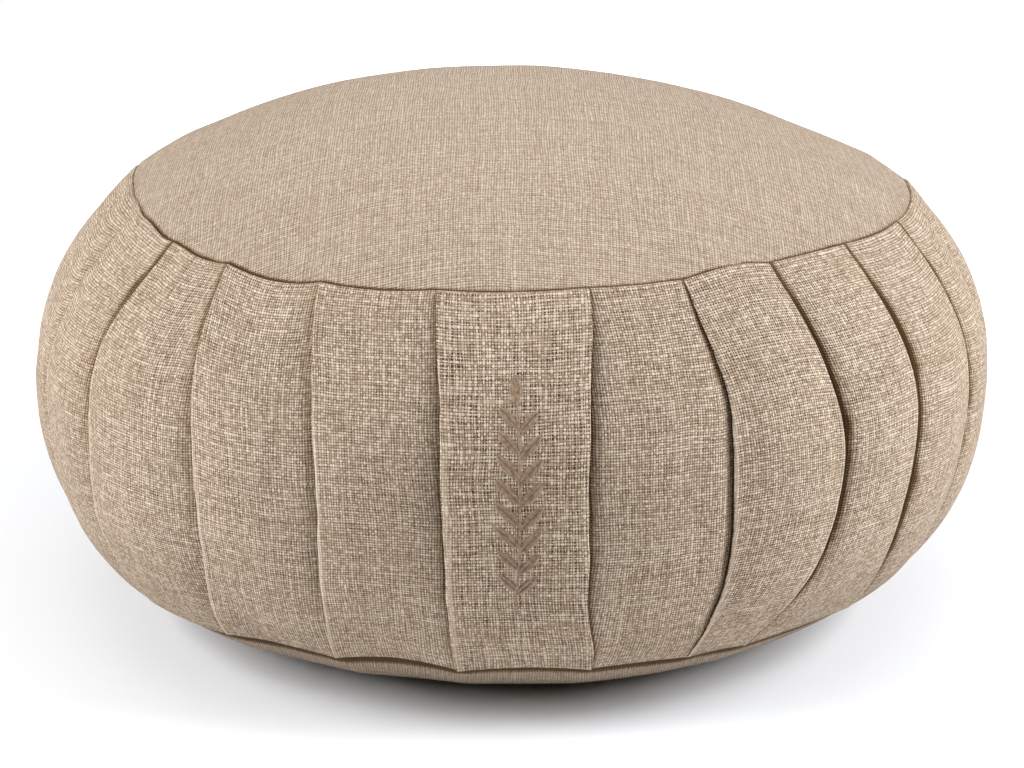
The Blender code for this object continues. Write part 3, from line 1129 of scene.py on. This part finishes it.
class Wiring:
    """Short ways to add shader nodes to one material and join them."""

    def __init__(self, name: str) -> None:
        """Starts a material with its own Principled shader."""
        self.material = bpy.data.materials.new(name)
        self.material.use_nodes = True
        self.tree = self.material.node_tree
        self.shader = self.tree.nodes["Principled BSDF"]

    def feed(self, socket: Socket, value: Feed) -> None:
        """Links a socket, or sets it to a number."""
        if isinstance(value, Socket):
            self.tree.links.new(value, socket)
        else:
            socket.default_value = value

    def math(self, operation: str, *values: Feed, clamp: bool = False) -> Socket:
        """One Math node on up to three values."""
        node = self.tree.nodes.new("ShaderNodeMath")
        node.operation = operation
        node.use_clamp = clamp
        for socket, value in zip(node.inputs, values):
            self.feed(socket, value)
        return node.outputs[0]

    def times(self, first: Feed, second: Feed) -> Socket:
        """The product of two values."""
        return self.math("MULTIPLY", first, second)

    def vector(self, first: Feed, second: Feed, third: Feed = 0.0) -> Socket:
        """A vector from three numbers."""
        node = self.tree.nodes.new("ShaderNodeCombineXYZ")
        for socket, value in zip(node.inputs, (first, second, third)):
            self.feed(socket, value)
        return node.outputs[0]

    def noise(self, place: Socket, scale: float, detail: float = 0.0) -> Socket:
        """Smooth noise from 0 to 1 at a place."""
        node = self.tree.nodes.new("ShaderNodeTexNoise")
        self.feed(node.inputs["Vector"], place)
        node.inputs["Scale"].default_value = scale
        node.inputs["Detail"].default_value = detail
        return node.outputs["Fac"]

    def chance(self, value: Socket) -> Socket:
        """A number from 0 to 1 that differs from thread to thread."""
        node = self.tree.nodes.new("ShaderNodeTexWhiteNoise")
        node.noise_dimensions = "1D"
        self.feed(node.inputs["W"], value)
        return node.outputs["Value"]

    def spread(
        self, value: Feed, low: float, high: float, to_low: float = 0.0, to_high: float = 1.0
    ) -> Feed:
        """Maps a range of values smoothly onto another, held at its ends."""
        node = self.tree.nodes.new("ShaderNodeMapRange")
        node.interpolation_type = "SMOOTHSTEP"
        ends = {"From Min": low, "From Max": high, "To Min": to_low, "To Max": to_high}
        for key, number in {"Value": value, **ends}.items():
            self.feed(node.inputs[key], number)
        return node.outputs["Result"]

    def bump(self, height: Socket, strength: float, distance: float) -> None:
        """Raises the surface by a height from 0 to 1, over a distance in metres."""
        node = self.tree.nodes.new("ShaderNodeBump")
        node.inputs["Strength"].default_value = strength
        node.inputs["Distance"].default_value = distance
        self.feed(node.inputs["Height"], height)
        self.feed(self.shader.inputs["Normal"], node.outputs[0])

    def mix(self, share: Feed, first: Feed | tuple, second: Feed | tuple) -> Socket:
        """A colour between two others."""
        node = self.tree.nodes.new("ShaderNodeMix")
        node.data_type = "RGBA"
        self.feed(node.inputs[0], share)
        for socket, value in ((node.inputs[6], first), (node.inputs[7], second)):
            self.feed(socket, (*value, 1.0) if isinstance(value, tuple) else value)
        return node.outputs[2]


@dataclass(frozen=True)
class LinenFinish:
    """Natural linen in an open plain weave.

    The pitches are millimetres from thread to thread. Colours are linear.
    """

    name: str
    warp_pitch: float = 0.90
    weft_pitch: float = 0.90
    pale: Triple = (0.60, 0.488, 0.375)
    middle: Triple = (0.315, 0.226, 0.148)
    shade: Triple = (0.052, 0.026, 0.010)
    fleck: Triple = (0.30, 0.15, 0.06)
    # brown and depth are painted shade: the warm tint and the dark colour laid into folds and seams.
    brown: Triple = (0.24, 0.145, 0.068)
    depth: Triple = (0.054, 0.026, 0.008)
    openness: float = 0.5
    wander: float = 0.5
    relief: float = 0.28
    sheen: float = 0.05

    def make(self) -> bpy.types.Material:
        """Builds the weave on the cloth's own flat measures.

        Returns:
            The finished material.
        """
        wire = Wiring(self.name)
        cloth = wire.tree.nodes.new("ShaderNodeUVMap")
        cloth.uv_map = CLOTH_MAP
        parts = wire.tree.nodes.new("ShaderNodeSeparateXYZ")
        wire.feed(parts.inputs[0], cloth.outputs[0])
        across, down = parts.outputs[0], parts.outputs[1]
        warp, weft = self._threads(wire, across, down)
        column, row = wire.math("FLOOR", warp), wire.math("FLOOR", weft)
        warp_high = self._strand(wire, warp, weft, column, 1.0, 3.0)
        weft_high = self._strand(wire, weft, warp, row, -1.0, 17.0)
        height = wire.math("MAXIMUM", warp_high, weft_high)
        on_warp = wire.math("GREATER_THAN", warp_high, weft_high)
        tone = self._tone(wire, on_warp, (column, weft), (row, warp))
        colour = self._colour(wire, height, tone, across, down)
        # The inside attribute carries painted shade, darkest in folds and seams and broken up by the
        # weave, and below 0 a painted highlight that mixes towards the pale colour on fold edges.
        inside = wire.tree.nodes.new("ShaderNodeAttribute")
        inside.attribute_name = INSIDE_MAP
        deep = inside.outputs["Fac"]
        shade_through_weave = wire.math("MULTIPLY_ADD", height, -1.2, wire.times(deep, 2.2))
        painted_shade_share = wire.times(wire.math("ADD", shade_through_weave, 0.0, clamp=True), 0.94)
        painted_highlight = wire.times(wire.math("MULTIPLY", deep, -1.0, clamp=True), 0.75)
        with_highlight = wire.mix(painted_highlight, colour, self.pale)
        brown_shade_share = wire.math("MULTIPLY", deep, 0.75, clamp=True)
        shown = wire.mix(painted_shade_share, wire.mix(brown_shade_share, with_highlight, self.brown), self.depth)
        wire.feed(wire.shader.inputs["Base Color"], shown)
        wire.feed(wire.shader.inputs["Roughness"], wire.spread(height, 0.0, 1.0, 0.98, 0.80))
        wire.shader.inputs["Specular IOR Level"].default_value = 0.05
        wire.shader.inputs["Sheen Weight"].default_value = self.sheen
        wire.shader.inputs["Sheen Roughness"].default_value = 0.45
        wire.shader.inputs["Sheen Tint"].default_value = (1.0, 0.86, 0.74, 1.0)
        self._relief(wire, height, across, down)
        return wire.material

    def _threads(self, wire: Wiring, across: Feed, down: Feed) -> tuple[Feed, Feed]:
        """Thread counts across and down, bent by slow waves and by each thread's own wander."""
        counts = []
        for value, pitch, seed in ((across, self.warp_pitch, 0.0), (down, self.weft_pitch, 5.0)):
            count = wire.math("DIVIDE", value, pitch * MM)
            place = wire.vector(across, down, seed)
            wave = wire.math("SUBTRACT", wire.noise(place, 30.0, 1.0), 0.5)
            counts.append(wire.math("MULTIPLY_ADD", wave, 2.4, count))
        warp, weft = counts
        by_warp = wire.vector(wire.times(warp, 0.85), wire.times(weft, 0.06), 2.0)
        by_weft = wire.vector(wire.times(warp, 0.06), wire.times(weft, 0.85), 8.0)
        bent = []
        for place, count in ((by_warp, warp), (by_weft, weft)):
            off = wire.math("SUBTRACT", wire.noise(place, 1.0), 0.5)
            bent.append(wire.math("MULTIPLY_ADD", off, 1.6 * self.wander, count))
        return bent[0], bent[1]

    def _strand(
        self, wire: Wiring, own: Feed, other: Feed, number: Feed, sign: float, seed: float
    ) -> Feed:
        """Height of one set of threads: round across, and over and under along.

        Args:
            wire: the material's wiring.
            own: count across this set of threads.
            other: count along them.
            number: the thread's whole number.
            sign: 1 where the set is over first, -1 where it is under first.
            seed: sets the thickness noise apart.

        Returns:
            The height from 0 to 1.
        """
        inside = wire.math("MULTIPLY_ADD", wire.math("FRACT", own), 2.0, -1.0)
        along = wire.vector(wire.times(number, 7.31), wire.times(other, 0.16), seed)
        thinnest, thickest = 0.84 - 0.36 * self.openness, 1.06
        slow = wire.noise(along, 1.0, 1.0)
        thickness = wire.spread(slow, 0.25, 0.75, thinnest, thickest)
        share = wire.math("DIVIDE", inside, thickness)
        round_top = wire.math("MULTIPLY_ADD", wire.times(share, share), -1.0, 1.0, clamp=True)
        half_waves = wire.math("ADD", wire.math("SUBTRACT", other, 0.5), number)
        phase = wire.times(half_waves, math.pi)
        wave = wire.math("MULTIPLY_ADD", wire.math("COSINE", phase), 0.32 * sign, 0.68)
        return wire.times(wire.math("POWER", round_top, 0.7), wave)

    def _tone(
        self, wire: Wiring, on_warp: Feed, warp: tuple[Feed, Feed], weft: tuple[Feed, Feed]
    ) -> Feed:
        """How pale each thread is, from 0 to 1, changing slowly along it."""
        tones = []
        for (number, along), seed in ((warp, 0.37), (weft, 0.71)):
            own = wire.chance(wire.math("ADD", number, seed))
            whole = wire.math("FLOOR", along)
            crossing = wire.chance(wire.math("MULTIPLY_ADD", number, 61.7, whole))
            place = wire.vector(wire.times(number, 3.17), wire.times(along, 0.42), seed * 9)
            slow = wire.noise(place, 1.0, 2.0)
            tone = wire.math("MULTIPLY_ADD", own, 0.15, wire.times(slow, 0.53))
            tones.append(wire.math("MULTIPLY_ADD", crossing, 0.32, tone))
        back = wire.math("SUBTRACT", 1.0, on_warp)
        return wire.math("ADD", wire.times(tones[0], on_warp), wire.times(tones[1], back))

    def _colour(self, wire: Wiring, height: Feed, tone: Feed, across: Feed, down: Feed) -> Feed:
        """Dark between threads, paler on their crowns, with the odd brown fleck."""
        thread = wire.mix(wire.spread(tone, 0.28, 0.70), self.middle, self.pale)
        crown = wire.spread(height, 0.20, 0.86)
        woven = wire.mix(crown, self.shade, thread)
        place = wire.vector(wire.times(across, 1.0), wire.times(down, 0.4), 3.0)
        flecks = wire.spread(wire.noise(place, 420.0, 1.0), 0.79, 0.86, 0.0, 0.55)
        flecked = wire.mix(flecks, woven, self.fleck)
        patch = wire.noise(wire.vector(across, down, 12.0), 55.0, 3.0)
        warm = tuple(0.90 * part for part in self.middle)
        return wire.mix(wire.spread(patch, 0.45, 0.8, 0.0, 0.22), flecked, warm)

    def _relief(self, wire: Wiring, height: Feed, across: Feed, down: Feed) -> None:
        """Raises the threads, with loose fibres over them."""
        fibre = wire.noise(wire.vector(across, down, 6.0), 3200.0, 1.0)
        wire.bump(wire.math("MULTIPLY_ADD", fibre, 0.18, height), 0.8, self.relief * MM)


@dataclass(frozen=True)
class ThreadFinish:
    """Soft brown stitching thread, a few tones darker than the cloth."""

    name: str = "stitching_thread"
    dark: Triple = (0.15, 0.085, 0.045)
    light: Triple = (0.30, 0.19, 0.11)

    def make(self) -> bpy.types.Material:
        """Builds the thread, varied from stitch to stitch."""
        wire = Wiring(self.name)
        place = wire.tree.nodes.new("ShaderNodeTexCoord").outputs["Object"]
        fine = wire.noise(place, 900.0, 2.0)
        tone = wire.mix(wire.spread(fine, 0.3, 0.7), self.dark, self.light)
        wire.feed(wire.shader.inputs["Base Color"], tone)
        wire.shader.inputs["Roughness"].default_value = 0.6
        wire.shader.inputs["Sheen Weight"].default_value = 0.3
        wire.bump(wire.noise(place, 2600.0, 1.0), 0.5, 0.08 * MM)
        return wire.material


@dataclass
class LeafSprig:
    """A generic leaf sprig stitched down the front strip.

    Attributes:
        top_share: how far down the side its tip is.
        length: its length down the strip, in metres.
        pairs: how many pairs of leaves it has.
    """

    strip: FrontStrip
    top_share: float = 0.17
    length: float = 0.088
    pairs: int = 8
    leaf_length: float = 11.5 * MM
    leaf_width: float = 3.6 * MM
    pair_stagger: float = 1.6 * MM
    stem_stitch: float = 2.0 * MM
    stem_half: float = 0.16 * MM
    thread: float = 0.26 * MM
    stitch_gap: float = 0.46 * MM

    def spot(self, across: float, down: float, raise_by: float) -> Vector:
        """A place on the strip.

        Args:
            across: metres right of the middle.
            down: metres down from the sprig's tip.
            raise_by: metres off the cloth.

        Returns:
            The place in the frame.
        """
        share = self.top_share + down / self.strip.side.down[-1]
        place, normal = self.strip.surface(across, share)
        return place + normal * raise_by

    def stem(self, down: float) -> float:
        """How far right of the middle the stem is at a length down."""
        return 1.5 * MM * math.sin(math.pi * down / self.length * 1.15)

    def stitches(self) -> list[list[Vector]]:
        """Every stitch of the sprig as a short arched run of points."""
        runs = []
        step = self.stem_stitch
        for number in range(int(self.length / step)):
            start, end = number * step, (number + 1.35) * step
            for side in (-self.stem_half, self.stem_half):
                first, last = self.stem(start) + side, self.stem(end) + side
                runs.append(self._arch((first, start), (last, end), 0.28))
        for pair in range(self.pairs):
            root = self.length * (0.20 + 0.68 * pair / (self.pairs - 1))
            size = 0.72 + 0.28 * math.sin(math.pi * (pair + 0.8) / (self.pairs + 0.4))
            for hand in (-1, 1):
                shifted = root + (self.pair_stagger if hand > 0 else 0.0)
                runs += self._leaf(self.stem(shifted), shifted, math.radians(hand * 40), size)
        runs += self._leaf(self.stem(3 * MM), self.leaf_length * 0.92, 0.0, 0.92)
        return runs

    def _leaf(self, across: float, down: float, lean: float, size: float) -> list[list[Vector]]:
        """Slanting satin stitches that fill one leaf, which grows up from its root."""
        length, width = self.leaf_length * size, self.leaf_width * size
        count = int(length / self.stitch_gap)
        runs = []
        for number in range(count):
            part = (number + 0.5) / count
            half = width / 2 * arch(part**0.85, 0.9)
            if half < 0.25 * MM:
                continue
            for hand in (-1, 1):
                along = part * length
                inner = self._leaf_spot(across, down, lean, along, 0.1 * MM * hand)
                outer = self._leaf_spot(across, down, lean, along + 0.55 * half, hand * half)
                runs.append(self._arch(inner, outer, 0.30))
        return runs

    @staticmethod
    def _leaf_spot(across: float, down: float, lean: float, along: float, out: float) -> Pair:
        """A spot on a leaf as measures across and down the strip."""
        right = along * math.sin(lean) + out * math.cos(lean)
        up = along * math.cos(lean) - out * math.sin(lean)
        return across + right, down - up

    def _arch(self, start: Pair, end: Pair, rise: float) -> list[Vector]:
        """Points of one stitch, low at both ends and high between them."""
        points = []
        for part in (0.0, 0.2, 0.5, 0.8, 1.0):
            across = start[0] + part * (end[0] - start[0])
            down = start[1] + part * (end[1] - start[1])
            points.append(self.spot(across, down, (rise * arch(part, 0.5) - 0.06) * MM))
        return points

    def build(self) -> bpy.types.Object:
        """Sews all the stitches as one piece of round threads."""
        curve = bpy.data.curves.new("sprig_stitches", "CURVE")
        curve.dimensions = "3D"
        curve.bevel_depth = self.thread
        curve.bevel_resolution = 1
        curve.use_fill_caps = True
        for run in self.stitches():
            spline = curve.splines.new("POLY")
            spline.points.add(len(run) - 1)
            for knot, place in zip(spline.points, run):
                knot.co = (*place, 1.0)
        holder = bpy.data.objects.new("sprig_line", curve)
        bpy.context.scene.collection.objects.link(holder)
        bpy.context.view_layer.update()
        shaped = holder.evaluated_get(bpy.context.evaluated_depsgraph_get())
        sewn = bpy.data.meshes.new_from_object(shaped)
        bpy.data.objects.remove(holder)
        mesh = bmesh.new()
        mesh.from_mesh(sewn)
        bmesh.ops.remove_doubles(mesh, verts=mesh.verts, dist=0.001 * MM)
        return finished_piece("sprig_stitches", mesh)


@dataclass(frozen=True)
class SoftLight:
    """One soft rectangular light.

    Attributes:
        name: its name.
        place: where it stands.
        aim: what it points at.
        size: its width and height in metres.
        power: in watts.
        cool: how much bluer than white it is.
    """

    name: str
    place: Triple
    aim: Triple
    size: Pair
    power: float
    cool: float = 0.0

    def build(self) -> None:
        """Hangs the light."""
        lamp = bpy.data.lights.new(self.name, "AREA")
        lamp.shape = "RECTANGLE"
        lamp.size, lamp.size_y = self.size
        lamp.energy = self.power
        lamp.color = (1 - self.cool, 1.0, 1 + 1.5 * self.cool)
        item = bpy.data.objects.new(self.name, lamp)
        item.location = self.place
        way = Vector(self.aim) - Vector(self.place)
        item.rotation_euler = way.to_track_quat("-Z", "Y").to_euler()
        bpy.context.scene.collection.objects.link(item)


LIGHTS = (
    SoftLight("overhead", (0.0, -0.12, 1.9), (0, 0, 0.08), (2.6, 2.4), 21.0),
    SoftLight("left_side", (-1.7, -0.4, 1.1), (0, 0, 0.1), (1.3, 1.2), 62.0, 0.03),
    SoftLight("right_side", (1.7, -0.2, 1.1), (0, 0, 0.1), (1.3, 1.2), 68.0, 0.04),
    SoftLight("backdrop", (0.0, 1.0, 0.9), (0, 2.2, 0), (3.4, 0.8), 45.0),
)


@dataclass
class Studio:
    """Plain pale floor, soft lights and the camera."""

    floor_size: float = 1.3
    floor_drop: float = 0.1 * MM
    floor_dark: Triple = (0.79, 0.79, 0.79)
    floor_light: Triple = (0.805, 0.805, 0.805)
    surround: float = 0.03
    camera_distance: float = 0.954
    camera_elevation: float = 16.91
    camera_lens: float = 87.26
    pivot_z: float = 0.0799
    aim: Triple = (0.0005, 0.0, 0.0744)

    def build_floor(self) -> bpy.types.Object:
        """A large floor just under the cushion."""
        mesh = bmesh.new()
        bmesh.ops.create_grid(mesh, x_segments=1, y_segments=1, size=self.floor_size)
        bmesh.ops.translate(mesh, verts=mesh.verts, vec=(0, 0, -self.floor_drop))
        floor = finished_piece("pale_floor", mesh)
        wire = Wiring("floor_paper")
        place = wire.tree.nodes.new("ShaderNodeTexCoord").outputs["Object"]
        tone = wire.spread(wire.noise(place, 3.0, 2.0), 0.2, 0.8)
        paper = wire.mix(tone, self.floor_dark, self.floor_light)
        wire.feed(wire.shader.inputs["Base Color"], paper)
        wire.shader.inputs["Roughness"].default_value = 0.9
        wire.shader.inputs["Specular IOR Level"].default_value = 0.1
        floor.data.materials.append(wire.material)
        return floor

    def build_lights(self) -> None:
        """A large overhead light, one soft light on each side and an even surround."""
        for light in LIGHTS:
            light.build()
        world = bpy.data.worlds.new("even_surround")
        world.use_nodes = True
        nodes, links = world.node_tree.nodes, world.node_tree.links
        background = nodes["Background"]
        background.inputs["Color"].default_value = (1.0, 1.0, 1.0, 1.0)
        path = nodes.new("ShaderNodeLightPath")
        strength = nodes.new("ShaderNodeMath")
        strength.operation = "MAXIMUM"
        strength.inputs[1].default_value = self.surround
        links.new(path.outputs["Is Camera Ray"], strength.inputs[0])
        links.new(strength.outputs[0], background.inputs["Strength"])
        bpy.context.scene.world = world

    def build_camera(self) -> None:
        """A long lens, a little above the cushion, square on to the front strip."""
        lens = bpy.data.cameras.new("front_camera")
        lens.lens = self.camera_lens
        lens.sensor_width = 36.0
        item = bpy.data.objects.new("front_camera", lens)
        lift = math.radians(self.camera_elevation)
        back = Vector((0, -math.cos(lift), math.sin(lift)))
        item.location = Vector((0, 0, self.pivot_z)) + back * self.camera_distance
        item.rotation_euler = (Vector(self.aim) - item.location).to_track_quat("-Z", "Y").to_euler()
        bpy.context.scene.collection.objects.link(item)
        bpy.context.scene.camera = item

    def build(self) -> None:
        """Sets up the whole studio."""
        self.build_floor()
        self.build_lights()
        self.build_camera()
        bpy.context.scene.view_settings.view_transform = "Standard"


def dress(item: bpy.types.Object, material: bpy.types.Material) -> None:
    """Gives a piece its material and its body.

    Args:
        item: the piece.
        material: what it is made of.
    """
    item.data.materials.append(material)
    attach(item, "root")
    LOG.info("%s: %d faces", item.name, len(item.data.polygons))


def main() -> None:
    """Builds the cushion piece by piece, then the studio."""
    logging.basicConfig(level=logging.INFO, format="%(name)s: %(message)s")
    for startup in ("Cube", "Light", "Camera"):
        if startup in bpy.data.objects:
            bpy.data.objects.remove(bpy.data.objects[startup])
    form = CushionForm.from_frame()
    side_linen = LinenFinish("side_linen").make()
    # The crown and underside wear a copy of the linen with less weave contrast and a darker pale
    # tone; that darker tone is painted shade offsetting the stronger light on the crown.
    round_linen = LinenFinish(
        "round_linen", pale=(0.478, 0.393, 0.306), middle=(0.325, 0.246, 0.175),
        shade=(0.115, 0.070, 0.038), openness=0.3,
    ).make()
    strip_linen = LinenFinish(
        "strip_linen", warp_pitch=0.93, weft_pitch=1.05, openness=0.75, wander=0.7
    ).make()

    side = PleatedSide(form)
    band = side.build()
    dress(band, side_linen)
    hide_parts("pleated_side")

    top = RoundPanel(side, "top_panel_cloth", True).build()
    dress(top, round_linen)
    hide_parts("top_panel")

    bottom = RoundPanel(
        side, "bottom_panel_cloth", False, roll=1.6 * MM, seam_gap=1.2 * MM, painted_shade_edge=6.8 * MM
    ).build()
    dress(bottom, round_linen)
    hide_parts("bottom_panel")

    strip = FrontStrip(side)
    strip_cloth = strip.build()
    dress(strip_cloth, strip_linen)
    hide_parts("front_strip")

    sprig = LeafSprig(strip).build()
    dress(sprig, ThreadFinish().make())

    Studio().build()


if __name__ == "__main__":
    main()
